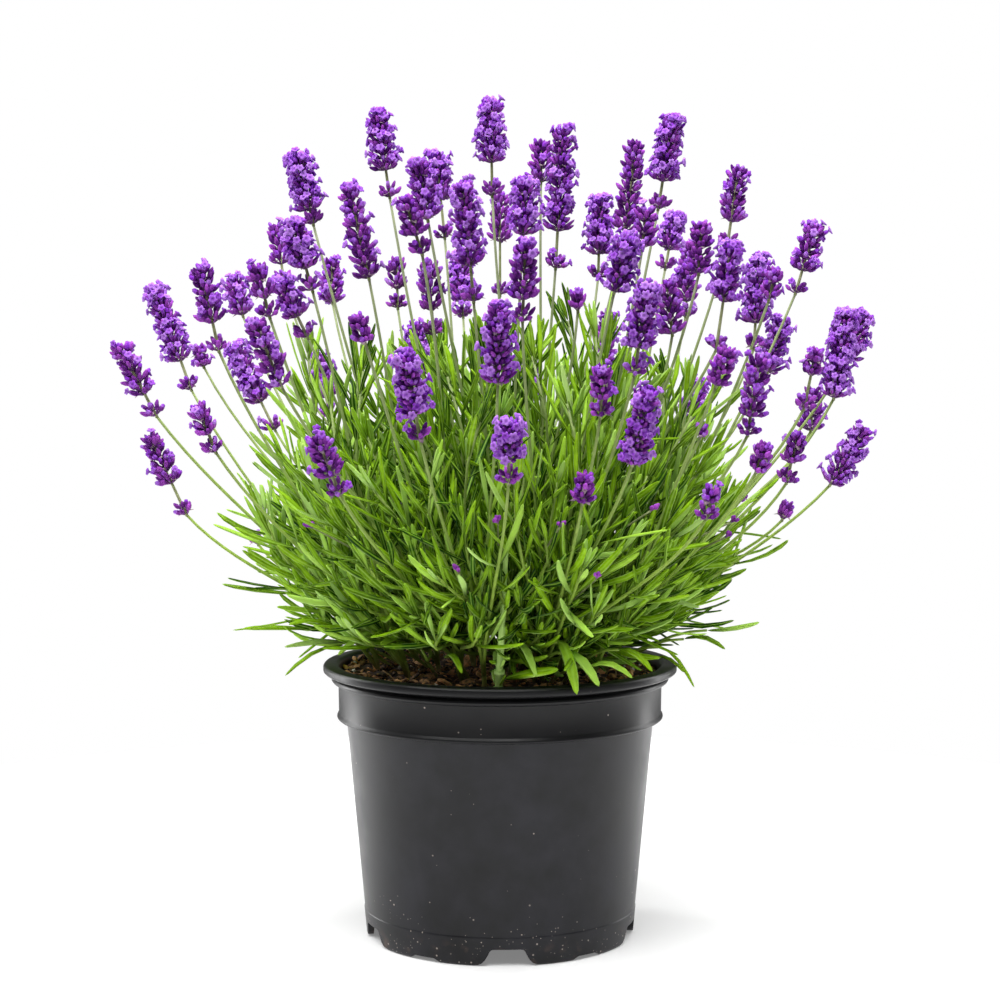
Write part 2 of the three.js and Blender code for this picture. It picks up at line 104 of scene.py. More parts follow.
# Stems and stalks: the same lines as the solids follow.
SOLIDS_SEED = 20240611
GOLDEN_TURN = math.pi * (3 - math.sqrt(5))
STEM_COUNT = 19
STEM_SPREAD = 66
STEM_RADIUS = 1.6
STEM_RISE = 34
STEM_SHOULDER = 0.3
STEM_LEAN = 0.42
HOLE_DEPTH = 12
CLEARANCE = 0.3
STALK_START = (0.55, 0.95)
STALK_LEAD = 0.3
STALK_RUN_IN = 0.38
STALK_BENDS = (1, 0.7, 1.4, 0.45)
STALK_LEAVES = (0.15, 0.6)
LEAFY_SHARE = 0.5
ROOT_PULL = 0.34
NEAR_STEMS = 6
CURVE_STEPS = 24
STALK_RADII = (1.05, 0.75)
STALK_STRAIGHTNESS = 0.6

# Foliage: leafy shoots end on this outline. Radius and height, from the top down.
FOLIAGE_TOP = 322
FOLIAGE_RADIUS = 152
FOLIAGE_OUTLINE = [
    (0, 322), (60, 320), (96, 306), (116, 284), (128, 254), (131, 222), (127, 196),
    (114, 179), (98, 166),
]
FOLIAGE_MIDDLE = 150
# Below this height some shoots are shorter, by up to this share.
RAGGED_HEIGHT = 200
RAGGED_SHARE = 0.26
# Shoots: how many, how far out they end, and how light their leaves are. The inner shoots'
# leaves are painted dark, as shade inside the foliage.
OUTER_SHOOTS = (186, (0.76, 1.0), 0.65)
INNER_SHOOTS = (70, (0.45, 0.72), 0.12)
LONG_SHOOTS = (0, 0, 0, 0, 0, 0, 0.05, 0.09)  # a few reach further
FAN_CENTRE = 84
FAN_SPREAD = 0.65
SHOOT_STARTS = (0.35, 0.95)
SHOOT_RADII = (1.3, 0.65)
# Down a shoot from its tip: distance, leaf length and the leaf's angle to the shoot.
SHOOT_NODES = [
    (0, 16, 9), (4, 24, 15), (11, 32, 21), (21, 39, 27), (33, 44, 34), (47, 46, 41),
    (62, 45, 47), (78, 42, 52),
]
LOWEST_NODE = 0.12
# Pairs lower on a shoot sit deeper in the foliage, so each is painted darker: painted shade.
NODE_SHADE = 0.06  # how much darker each pair is than the one above it
STALK_NODE_GAP = 21
STALK_LEAF = (38, 28)  # length and angle
LEAFY_STALK_SHARE = 0.62
# Leaves are broadest low on the plant. One shorter than a full one is narrower.
LEAF_WIDTHS = (3.4, 2.9)
BROAD_HEIGHTS = (165, 280)
FULL_LEAF = 34
LEAF_PARTS = (0.55, 0.45)  # the straight part and the bent part
LEAF_MARGIN = 2.0
# At the left front no leaf hangs below this plane, so the soil shows over the rim.
OPEN_SIDE = (-92, -6)
OPEN_DEPTH = 75
OPEN_HEIGHT = 153
OPEN_SLOPE = 0.14
# Single leaves that reach over the rim: foot, tip, how far the middle rises, and width.
RIM_LEAVES = [
    ((29, -78, 168), (38, -101, 145), 8, 5.6), ((31, -82, 163), (49, -100, 149), 6, 5),
    ((2, -82, 150), (29, -97, 157), 1, 5.6), ((60, -70, 163), (77, -77, 153), 4, 3.6),
    ((-62, -30, 167), (-85, -34, 155), 4, 3.8), ((-60, -20, 156), (-37, -24, 159), 4, 3.4),
    ((-84, 4, 155), (-116, 0, 139), 5, 2.6), ((-104, 10, 163), (-139, 6, 164), 1, 3.4),
    ((84, -24, 158), (103, -22, 136), 5, 2.2), ((82, -10, 150), (98, -14, 143), 4, 2.2),
    ((99, 0, 159), (121, -4, 154), 4, 3.2), ((112, 6, 163), (140, 2, 168), -1, 3.2),
    ((44, -84, 156), (66, -93, 152), 5, 3.4), ((-28, -60, 158), (-19, -84, 153), 5, 3.4),
    ((8, -70, 166), (18, -96, 153), 6, 3.8), ((-88, -30, 170), (-110, -40, 172), 3, 3.2),
]
RIM_LEAF_UPPER = Vector((0, -0.8, 1))
# The stout stem at the front: its line, its radii and where its pale joints are.
FRONT_STEM = [(-1, -79, 139), (0, -83, 160), (3, -98, 215)]
FRONT_STEM_RADII = (2.4, 1.3)
FRONT_JOINTS = (0.12, 0.28)

# Flower heads
# A full head and a loose one, which has hardly a flower open and stouter buds.
WHORL_PITCHES = (6.3, 6.9)
WHORL_BUDS = (11, 9)
STOUTNESS = (1, 1.25)
LOOSE_BELOW = 0.2
WHORL_RADIUS = 8.6
FULL_LENGTH = 25  # a shorter head is slimmer too
HEAD_TAPER = 0.28
LONE_WHORL = (0.4, 5, 6.6, 6)  # its foot, its top, its reach and its buds
BLOOMS = (0.04, 0.16, 0.25, 0.36, 0.48)  # shares of open flowers
YOUNG_BLOOM = (21, 0.03)  # a head shorter than this has hardly any
SHOWING_SHARE = 0.3
BUD_WIDTHS = (0.92, 1.2)
BUD_SAG = 0.1
OUTER_TINTS = (0.45, 0.32)  # mean and spread
INNER_TINTS = (0.3, 0.25)
INNER_REACH = 0.74
FLOWER_DEPTH = 1.8  # how deep in its calyx a flower starts
FLOWER_LENGTHS = (2.8, 4.0)
FLOWER_WIDTHS = (1.7, 2.3)
BRACT_LENGTHS = (4, 6.4)
BRACT_WIDTH = 1.4
AXIS_RADII = (0.95, 0.6)
CROWN = 0.5
CROWN_BUDS = 6
CROWN_WIDTH = 1.1
HEAD_SPACING = 18.8
SPREAD_ROUNDS = 40
HEAD_CLEARANCE = 10.6
LEAF_HEAD_CLEARANCE = 8.6
DEPTH_LEAN = 0.55
# Each head: tip x, y and z, its lean to the right in degrees, its length, and the bare
# stretch down to the lone whorl below it, 0 where it has none.
LARGE_HEADS = [
    (-201, -20, 319, -27, 32, 12), (-189, 30, 349, -20, 44, 16),
    (-152, -60, 359, -11, 32, 14), (-154, 101, 356, -15, 24, 0),
    (-130, 112, 388, -8, 26, 11), (-108, 0, 419, -13, 32, 7),
    (-104, -70, 380, -15, 26, 11), (-100, 134, 368, -3, 28, 0),
    (-78, -40, 400, -12, 50, 0), (-66, 20, 443, -8, 33, 14),
    (-113, -45, 351, -25, 22, 11), (-116, -140, 330, -20, 28, 8),
    (-150, 60, 317, -27, 37, 17), (-190, 10, 270, -25, 31, 18),
    (-86, -157, 277, -19, 25, 10), (-41, -70, 410, -9, 31, 0),
    (-36, 70, 425, -6, 28, 21), (-46, -123, 389, -17, 21, 9),
    (-37, -40, 361, -4, 27, 12), (-18, -112, 397, -5, 43, 17),
    (-5, 0, 447, -1, 34, 17), (0, 112, 406, 0, 31, 31),
    (13, -60, 401, 3, 29, 0), (23, 50, 431, 1, 25, 0),
    (33, -20, 431, 3, 55, 19), (12, -146, 367, 2, 30, 10),
    (57, 80, 401, 2, 34, 13), (73, 10, 427, 7, 50, 0),
    (75, -50, 389, 6, 23, 0), (63, -112, 371, 15, 30, 0),
    (91, -10, 437, 9, 35, 14), (-1, -168, 337, 0, 40, 0),
    (-44, -168, 315, -9, 33, 13), (70, -134, 347, 7, 33, 13),
    (4, -179, 284, 0, 22, 12), (69, -157, 298, 10, 41, 0),
    (101, 101, 392, 11, 22, 11), (102, -60, 381, 2, 28, 0),
    (112, 134, 378, 4, 38, 9), (128, 10, 414, 8, 32, 13),
    (84, -60, 351, -7, 29, 0), (116, -70, 369, 7, 31, 24),
    (145, 60, 367, 4, 39, 14), (169, 5, 383, 16, 28, 12),
    (110, -123, 317, 17, 21, 0), (161, 80, 332, 17, 33, 0),
    (127, -101, 314, 6, 34, 9), (185, 0, 336, 8, 48, 0),
    (198, 22, 335, 20, 28, 0), (176, 60, 294, 5, 26, 0),
    (196, 0, 274, 31, 37, 0), (-110, 157, 312, -12, 30, 12),
    (-52, 170, 330, -6, 34, 10), (18, 177, 308, 2, 28, 14),
    (66, 166, 338, 7, 36, 0), (120, 151, 296, 13, 31, 12),
    (-24, 157, 372, -3, 32, 9),
]
SMALL_HEADS = [
    (-169, 60, 318, -15, 14, 0), (-122, -75, 359, -13, 20, 9),
    (-68, -146, 333, -17, 16, 0), (-153, -70, 289, -19, 19, 9),
    (-139, 60, 213, -20, 9, 0), (-58, 60, 367, -2, 20, 10),
    (38, -80, 346, -4, 12, 0), (48, -146, 309, 1, 19, 8),
    (40, -157, 259, 5, 18, 0), (141, -50, 358, 11, 18, 0),
    (160, -60, 317, 10, 16, 17), (154, -50, 274, 11, 19, 10),
    (129, -112, 271, 14, 17, 0), (143, 112, 234, 20, 10, 0),
    (158, 20, 233, 21, 12, 0), (101, -146, 253, 9, 12, 8),
    (103, -60, 279, 7, 9, 0),
]

# Where a few late buds show among the leaves.
STRAY_BUDS = [
    (-93, -82, 226), (-1, -124, 232), (29, -121, 230), (-20, -121, 208), (47, -113, 204),
    (74, -100, 236), (119, -47, 226), (116, -47, 218), (-57, 112, 220), (38, 119, 212),
    (90, 87, 226),
]
STRAY_WIDTH = 1.15

# Floor, lights and camera. Places and sizes of lights are in metres, powers in watts.
FLOOR_RADIUS = 600
FLOOR_DROP = 0.2
LIGHTS_AIM = Vector((0, 0, 0.2))
LIGHTS = {
    "key": ((-0.35, -0.85, 1.7), (2.0, 1.0), 48),
    "top": ((0.2, 0.1, 1.8), (1.3, 1.3), 35),
    # Two strips behind the pot turn its edges pale.
    "left_strip": ((-0.85, 0.5, 0.35), (0.3, 1.0), 9),
    "right_strip": ((0.85, 0.5, 0.35), (0.3, 1.0), 5),
}
SKY_LIGHT = 0.22
CAMERA_PLACE = (0, -1.198, 0.3215)
CAMERA_TILT = math.radians(85.83)
LENS = 80.65

# ---- materials

COLORS = {"out": 2, "data_type": "RGBA"}  # of a colour Mix


def linear(code):
    """An sRGB hex colour as linear red, green, blue and alpha."""
    channels = [int(code[i : i + 2], 16) / 255 for i in (1, 3, 5)]
    return [c / 12.92 if c <= 0.04045 else ((c + 0.055) / 1.055) ** 2.4 for c in channels] + [1]


def set_inputs(node, inputs):
    """Sets a node's inputs, by name or number or in their order, each to a number, a hex
    colour or another node's output."""
    for socket, value in inputs.items() if isinstance(inputs, dict) else enumerate(inputs):
        if isinstance(value, bpy.types.NodeSocket):
            node.id_data.links.new(value, node.inputs[socket])
        else:
            value = linear(value) if isinstance(value, str) else value
            node.inputs[socket].default_value = value


def add_node(tree, kind, inputs=(), out=0, **settings):
    """Adds a node with its inputs and settings, and returns one of its outputs, if any. Map
    Range takes a value, the range that it is in and the range that it is brought to, and
    Mix a share and the colours 6 and 7."""
    node = tree.nodes.new("ShaderNode" + kind)
    for setting, value in settings.items():
        setattr(node, setting, value)
    set_inputs(node, inputs)
    return node.outputs[out] if node.outputs else node


def start_material(name, roughness, color, **sockets):
    """A material with its shader's own sockets set. Returns it, its shader, what adds its
    nodes, and the place that patterns are laid out on, where sizes are in metres."""
    material = bpy.data.materials.new(name)
    material.use_nodes = True
    material.diffuse_color = linear(color)
    shader = material.node_tree.nodes["Principled BSDF"]
    set_inputs(shader, {"Roughness": roughness, "Base Color": color})
    set_inputs(shader, {socket.replace("_", " "): value for socket, value in sockets.items()})
    add = partial(add_node, material.node_tree)
    return material, shader, add, add("TexCoord", out="Object")


def moulded_polypropylene():
    """Black polypropylene, injection moulded: satin, with the mould's fine grain, cloudy where
    hands rubbed it, and specked with perlite dust and dried peat near the foot. Its collar is
    painted dark as the lip's shade."""
    material, shader, add, place = start_material(
        "moulded_polypropylene", 0.34, "#131315", IOR=1.49, Specular_IOR_Level=0.28
    )
    height = add("SeparateXYZ", (place,), "Z")
    # Rubbed patches: clouds about 18 mm across in a haze of about 60 mm.
    cloud = add("TexNoise", {"Vector": place, "Scale": 1 / 0.018, "Detail": 4})
    haze = add("TexNoise", {"Vector": place, "Scale": 1 / 0.06, "Detail": 3})
    rubbed = add("Math", (haze, cloud), operation="MULTIPLY")
    worn = add("MapRange", (rubbed, 0.12, 0.42))
    # The haze is left off the collar and lip, which keep the dark base colour: painted shade,
    # as the lip's shadow falls on the collar.
    below_lip_shade = add("MapRange", (height, 0.116, 0.119, 1, 0))
    haze_below_lip_shade = add("Math", (worn, below_lip_shade), operation="MULTIPLY")
    plastic = add("Mix", {0: haze_below_lip_shade, 6: "#0b0b0d", 7: "#222227"}, **COLORS)
    # Specks: one to a 1.9 mm cell, to 1 mm across, most faint, in fewer cells further up.
    cells = add("TexVoronoi", {"Vector": place, "Scale": 1 / 0.0019}).node.outputs
    rare, faint, big = add("SeparateColor", (cells["Color"],)).node.outputs
    size = add("MapRange", (big, 0.5, 1, 0.14, 0.36))
    speck = add("MapRange", (cells["Distance"], 0.05, size, faint, 0))
    clustered = add("MapRange", (cloud, 0.42, 0.6, 0.75, -0.2))
    rarity = add("MapRange", (height, 0.003, 0.03, clustered, 0.975))
    chosen = add("Math", (rare, rarity), operation="GREATER_THAN")
    dust = add("Math", (speck, chosen), operation="MULTIPLY")
    # Dried peat: blotches about 7 mm across on the lowest 14 mm.
    blotch = add("TexNoise", {"Vector": place, "Scale": 1 / 0.007, "Detail": 5})
    dried = add("MapRange", (blotch, 0.55, 0.75, 0, 0.5))
    low = add("MapRange", (height, 0.003, 0.014, 1, 0))
    peat = add("Math", (dried, low), operation="MULTIPLY")
    stained = add("Mix", {0: peat, 6: plastic, 7: "#57443a"}, **COLORS)
    dusty = add("Mix", {0: dust, 6: stained, 7: "#c4b6ac"}, **COLORS)
    satin = add("MapRange", (worn, 0, 1, 0.32, 0.46))
    # The grain is about 0.1 mm on the real pot. It is drawn at 0.7 mm, so that it shows.
    grain = add("TexNoise", {"Vector": place, "Scale": 1 / 0.0007, "Detail": 2})
    bump = add("Bump", {"Strength": 0.12, "Distance": 0.0001, "Height": grain})
    set_inputs(shader, {"Base Color": dusty, "Roughness": satin, "Normal": bump})
    return material


def damp_peat():
    """Milled peat, damp: brown crumbs of about 3 mm, with no gloss. The noise that sinks its
    hollows also darkens them nearly to black, partly the peat's own dark tone and partly
    painted shade."""
    material, shader, add, place = start_material("damp_peat", 0.95, "#2e1d13")
    crumbs = add("TexNoise", {"Vector": place, "Scale": 1 / 0.003, "Detail": 6})
    # Darkest where the bump sinks: painted shade in the hollows, over the peat's own tone.
    spread = add("MapRange", (crumbs, 0.35, 0.68))
    color = add("Mix", {0: spread, 6: "#0b0603", 7: "#553724"}, **COLORS)
    bump = add("Bump", {"Strength": 0.9, "Distance": 0.0012, "Height": crumbs})
    set_inputs(shader, {"Base Color": color, "Normal": bump})
    return material


def tinted(name, roughness, dark, light, grain, mottle=0.35, bands=(), **sockets):
    """A plant or soil material: each leaf, bud or chip takes its own shade between dark and
    light, mottled at the size of its grain. Each band then tints a part of it: an attribute,
    where the tint starts and ends, how strong it is there and there, and its colour."""
    material, shader, add, place = start_material(name, roughness, light, **sockets)
    shade = add("Attribute", out="Fac", attribute_name="tint")
    speckle = add("TexNoise", {"Vector": place, "Scale": 1 / grain, "Detail": 3})
    around = add("MapRange", (speckle, 0.3, 0.7, -mottle, mottle))
    factor = add("Math", (shade, around), operation="ADD", use_clamp=True)
    color = add("Mix", {0: factor, 6: dark, 7: light}, **COLORS)
    for (attribute, start, end, first, last), tint in bands:
        spread = add("Attribute", out="Fac", attribute_name=attribute)
        share = add("MapRange", (spread, start, end, first, last))
        color = add("Mix", {0: share, 6: color, 7: tint}, **COLORS)
    bump = add("Bump", {"Strength": 0.35, "Distance": grain / 6, "Height": speckle})
    set_inputs(shader, {"Base Color": color, "Normal": bump})
    return material


def stem_skin():
    """Green stems under fine grey hairs: woody and brown at the foot, fresh green above it,
    and greyer near the flowers, where the hairs stand closer. Mottled every 4 mm or so."""
    start = start_material("downy_stem", 0.6, "#8f9f68", Specular_IOR_Level=0.3)
    material, shader, add, place = start
    height = add("SeparateXYZ", (place,), "Z")
    rise = add("MapRange", (height, 0.2, 0.36))
    color = add("Mix", {0: rise, 6: "#92b040", 7: "#959d7a"}, **COLORS)
    streak = add("TexNoise", {"Vector": place, "Scale": 1 / 0.004, "Detail": 3})
    darker = add("MapRange", (streak, 0.35, 0.75, 0, 0.45))
    mottled = add("Mix", {0: darker, 6: color, 7: "#60743a"}, **COLORS)
    woody = add("MapRange", (height, 0.142, 0.156, 0.85, 0))
    aged = add("Mix", {0: woody, 6: mottled, 7: "#7a6442"}, **COLORS)
    bump = add("Bump", {"Strength": 0.3, "Distance": 0.0003, "Height": streak})
    set_inputs(shader, {"Base Color": aged, "Normal": bump})
    return material


def white_paper():
    """Matte white paper under the pot. It is painted with a glow of its own, though it is no
    lamp: a little near the pot, which lightens the pot's shadow there, and more with the
    distance from the pot, until it is as white as what lies behind it."""
    start = start_material("white_paper", 0.9, "#d2d2d2", Emission_Color="#ffffff")
    material, shader, add, place = start
    uneven = add("TexNoise", {"Vector": place, "Scale": 1 / 0.3, "Detail": 2})
    color = add("Mix", {0: uneven, 6: "#d0d0d0", 7: "#d5d5d5"}, **COLORS)
    away = add("VectorMath", (place,), "Value", operation="LENGTH")
    edge = FLOOR_RADIUS * MM
    # Painted glow: it lightens the pot's shadow near the pot and brings the far floor up to
    # white.
    glow = add("MapRange", (away, 0.15, edge, 0.2, 0.45))
    set_inputs(shader, {"Base Color": color, "Emission Strength": glow})
    return material


PLASTIC = moulded_polypropylene()
PEAT = damp_peat()
# Bands of tint: on the lightest leaves, towards the foot, along the middle, along the edges and
# in the throat. Towards the foot a leaf is painted darker, as shade deep in the plant, and a
# calyx is paler in its own colour.
PALEST = ("tint", 0.68, 1, 0, 0.75)
FOOT_SHADE_AND_TONE = ("along", 0, 0.5, 0.85, 0)
MIDDLE = ("aside", 0.08, 0.3, 0.45, 0)
EDGE = ("aside", 0.72, 1, 0, 0.55)
THROAT = ("aside", 0.15, 0.7, 0.6, 0)
# Pine bark, shredded and weathered: torn pieces from dark red-brown to straw.
BARK = tinted("pine_bark", 0.85, "#1e0f07", "#f4b880", 0.002)
# Perlite, popped by heat: chalk-white crumbs with a rough skin.
PERLITE = tinted("perlite", 0.9, "#b9b2a4", "#f3f0e8", 0.001)
# Coir, combed from husks: dull tan fibres.
COIR = tinted("coir_fibre", 0.8, "#4b3321", "#9c7a55", 0.002)
STEM = stem_skin()
# Leaf blades, upper side: smooth and fresh green under a thin down, with a paler groove and
# pale edges where they roll under. They are painted darker towards the foot, as shade inside
# the plant.
LEAF_UPPER = tinted(
    "leaf_upper_side", 0.45, "#1a4400", "#a6d812", 0.006, 0.2,
    [(PALEST, "#acd074"), (FOOT_SHADE_AND_TONE, "#0b2200"), (MIDDLE, "#a4d048"), (EDGE, "#bcdc84")],
    Specular_IOR_Level=0.1,
)
# Leaf blades, underside: felted with short hairs, so paler and greyer, with a stout rib, and
# painted darker towards the foot as shade.
LEAF_UNDER = tinted(
    "leaf_underside", 0.75, "#265200", "#a8d828", 0.004, 0.2,
    [(PALEST, "#b4d488"), (FOOT_SHADE_AND_TONE, "#0f2800"), (MIDDLE, "#b4d868"), (EDGE, "#bcdc84")],
    Specular_IOR_Level=0.06,
)
# The flower spike's axis: downy like the stems, greyer, tinged with violet.
RACHIS = tinted("downy_flower_axis", 0.7, "#66703c", "#9aa073", 0.003)
# Calyces: ribbed cups in violet felt, which takes the light softly at its edges.
CALYX = tinted(
    "felted_calyx", 0.8, "#50126c", "#a84ec2", 0.0014, 0.3, [(FOOT_SHADE_AND_TONE, "#745a7c")],
    Specular_IOR_Level=0.15,
)
# Petals: thin, velvety and the brightest violet on the plant, dark in the throat.
PETAL = tinted(
    "velvet_petal", 0.7, "#8430bc", "#ae7ad4", 0.0012, 0.45, [(THROAT, "#4c1270")],
    Specular_IOR_Level=0.1,
)
# Bracts: dry and papery between the calyces.
BRACT = tinted("papery_bract", 0.8, "#8d6f88", "#c8b0bc", 0.001)
GREENERY = [STEM, LEAF_UPPER, LEAF_UNDER]
FLOWER = [RACHIS, CALYX, PETAL, BRACT]
ON_SOIL = [BARK, PERLITE, COIR]

# ---- closed bodies

MOUTH = 0.76  # the share of a turned body's length where its mouth starts


def clamp(value, low=0, high=1):
    """The value, or the limit that it is past."""
    return max(low, min(high, value))


def body_from_ball(columns, rows, shape, slot_of):
    """A closed body, shaped from a ball's rings. shape(angle, row) gives a corner's place
    across, deep and along, and slot_of(across, deep, along) a face's material slot."""
    bm = bmesh.new()
    bmesh.ops.create_uvsphere(bm, u_segments=columns, v_segments=rows, radius=1)
    for vertex in bm.verts:
        row = round(math.acos(clamp(-vertex.co.z, -1)) / math.pi * rows)
        vertex.co = shape(math.atan2(vertex.co.y, vertex.co.x), row)
    for face in bm.faces:
        face.smooth = True
        face.material_index = slot_of(*face.calc_center_median())
    mesh = bpy.data.meshes.new("body")
    bm.to_mesh(mesh)
    bm.free()
    return mesh


def rod_body(rows):
    """A round rod of radius 1 with flat ends."""

    def shape(angle, row):
        radius = 0 if row in (0, rows) else 1
        return radius * math.cos(angle), radius * math.sin(angle), clamp((row - 1) / (rows - 2))

    return body_from_ball(6, rows, shape, lambda across, deep, along: 0)


def turned_body(columns, profile, slots, flatness=1, notched=1, rough=0):
    """A body of the profile's radius and height pairs, flattened, with every third column
    drawn in by notched where the radius is over 1. A rough one is uneven, with flat faces.
    The slots are those of its length and of its mouth."""

    def shape(angle, row):
        radius, height = profile[row]
        column = round(angle / math.tau * columns)
        if column % 3 == 0 and radius > 1:
            radius *= notched
        wobble = 1 + rough * noise.noise(Vector((3.1 * angle, 1.7 * row, rough)))
        x = radius * wobble * math.cos(angle)
        y = radius * wobble * flatness * math.sin(angle)
        return x, y, height

    def slot_of(across, deep, along):
        return slots[along >= MOUTH]

    body = body_from_ball(columns, len(profile) - 1, shape, slot_of)
    if rough:
        body.shade_flat()
    return body


def leaf_body():
    """A narrow blunt blade: a groove along its upper side, edges rolled under, and its
    rib standing out below. Its half width is 1."""
    along = (0, 0.08, 0.3, 0.56, 0.82, 0.96, 1)
    width = (0, 0.4, 0.82, 1, 0.84, 0.44, 0)
    across = (1, 0.62, 0, -0.62, -1, -0.62, 0, 0.62)
    depth = (-0.26, 0.26, 0.02, 0.26, -0.26, -0.18, -0.5, -0.18)

    def shape(angle, row):
        column = round(angle / (math.pi / 4)) % 8
        thickness = 0 if row in (0, 6) else 0.4 + 0.6 * width[row]
        return width[row] * across[column], thickness * depth[column], along[row]

    return body_from_ball(8, 6, shape, lambda across, deep, along: 1 if deep > -0.04 else 2)


STALK_BODY = rod_body(16)
TWIG_BODY = rod_body(8)
LEAF_BODY = leaf_body()
# A closed calyx, and one with petals that show in its mouth. The greatest radius is 1.
CALYX_BODY = turned_body(
    6,
    [(0, 0), (0.3, 0.06), (0.42, 0.38), (0.96, 0.55), (0.96, 0.7), (0.6, 0.9), (0, 1)],
    (1, 1),
)
BUD_BODY = turned_body(
    6,
    [(0, 0), (0.3, 0.06), (0.4, 0.36), (0.94, 0.52), (0.94, 0.74), (0.76, 0.93), (0, 1)],
    (1, 2),
)
# An open flower: its tube, then five lobes round the throat.
COROLLA_BODY = turned_body(
    15,
    [(0, 0), (0.2, 0.05), (0.34, 0.6), (1.12, 0.84), (1.06, 0.98), (0.3, 0.9), (0, 0.8)],
    (2, 2),
    notched=0.7,
)
BRACT_BODY = turned_body(4, [(0, 0), (0.8, 0.25), (1, 0.55), (0, 1)], (3, 3), flatness=0.25)
CHIP_PROFILE = [(0, 0), (0.8, 0.05), (1, 0.4), (0.85, 0.94), (0, 1)]
CHIP_BODIES = [
    turned_body(5, CHIP_PROFILE, (0, 0), flatness=0.5, rough=0.8 + seed)
    for seed in (0, 0.1, 0.2, 0.3)
]
PERLITE_BODY = turned_body(
    6, [(0, 0), (0.7, 0.2), (1, 0.5), (0.6, 0.85), (0, 1)], (1, 1), rough=0.4
)


# What the materials read from a corner: the tint, the share of the length, and the share
# of the half width from the middle.
LAYERS = ("tint", "along", "aside")


def new_mesh():
    """A bmesh with the layers."""
    bm = bmesh.new()
    for name in LAYERS:
        bm.verts.layers.float.new(name)
    return bm


def on_curve(controls, share):
    """The point at a share of the Bezier curve over the controls."""
    points = controls
    while len(points) > 1:
        points = [a.lerp(b, share) for a, b in zip(points, points[1:])]
    return points[0]


def heading(controls, share):
    """The way ahead at a share of the curve."""
    step = 1e-3
    before = on_curve(controls, max(0, share - step))
    return (on_curve(controls, min(1, share + step)) - before).normalized()


def square_to(direction):
    """A direction square to this one."""
    helper = Vector((1, 0, 0)) if abs(direction.x) < 0.7 else Vector((0, 1, 0))
    return helper.cross(direction).normalized()


def grow(bm, body, controls, width, tint, upper=None, slot=None):
    """Adds a body, bent along the curve over the controls. Its half width is width, or runs
    from the first to the second of a pair. Its upper side faces upper."""
    first = len(bm.verts)
    faces = len(bm.faces)
    bm.from_mesh(body)
    bm.verts.ensure_lookup_table()
    tints, lengths, sides = [bm.verts.layers.float[name] for name in LAYERS]
    thin, wide = width if isinstance(width, tuple) else (width, width)
    upper = upper or square_to(heading(controls, 0.5))
    rings = {}
    for vertex in bm.verts[first:]:
        across, deep, share = vertex.co
        key = round(share, 4)
        if key not in rings:
            ahead = heading(controls, share)
            side = upper.cross(ahead).normalized()
            rings[key] = on_curve(controls, share), side, ahead.cross(side)
        centre, side, outward = rings[key]
        radius = thin + (wide - thin) * share
        vertex.co = centre + side * (across * radius) + outward * (deep * radius)
        vertex[tints] = tint
        vertex[lengths] = share
        vertex[sides] = math.hypot(across, 0 if body is LEAF_BODY else deep)
    if slot is not None:
        bm.faces.ensure_lookup_table()
        for face in bm.faces[faces:]:
            face.material_index = slot


def add_object(name, data):
    """An object in the scene."""
    added = bpy.data.objects.new(name, data)
    bpy.context.scene.collection.objects.link(added)
    return added


def mesh_object(name, bm, materials=()):
    """The mesh as an object, scaled to metres."""
    bmesh.ops.scale(bm, vec=(MM, MM, MM), verts=bm.verts)
    mesh = bpy.data.meshes.new(name)
    bm.to_mesh(mesh)
    bm.free()
    for material in materials:
        mesh.materials.append(material)
    return add_object(name, mesh)


def finish_piece(name, bm, materials, slot, *nodes):
    """The mesh as a piece that rides with the plant and stands for the nodes."""
    piece = mesh_object(name, bm, materials)
    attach(piece, "root")
    if nodes:
        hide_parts(*nodes)
    return piece


# ---- pot


def spun(profile, steps):
    """A closed body turned from radius and height pairs."""
    bm = bmesh.new()
    corners = [bm.verts.new((radius, 0, height)) for radius, height in profile]
    edges = [bm.edges.new(pair) for pair in zip(corners, corners[1:])]
    bmesh.ops.spin(
        bm, geom=corners + edges, axis=UP, angle=math.tau, steps=steps, use_merge=True
    )
    bmesh.ops.remove_doubles(bm, verts=bm.verts, dist=1e-3)
    bmesh.ops.recalc_face_normals(bm, faces=bm.faces)
    return bm


def add_cutter(bm, outline, turn):
    """A notch's outline, mirrored about its middle and drawn outwards through the wall."""
    near, far = CUTTER_REACH
    whole = outline + [(-x, z) for x, z in reversed(outline)]
    corners = [bm.verts.new((near, x, z)) for x, z in whole]
    face = bm.faces.new(corners)
    drawn = bmesh.ops.extrude_face_region(bm, geom=[face])["geom"]
    moved = [item for item in drawn if isinstance(item, bmesh.types.BMVert)]
    bmesh.ops.translate(bm, vec=(far - near, 0, 0), verts=moved)
    bmesh.ops.rotate(bm, matrix=Matrix.Rotation(turn, 3, "Z"), verts=corners + moved)


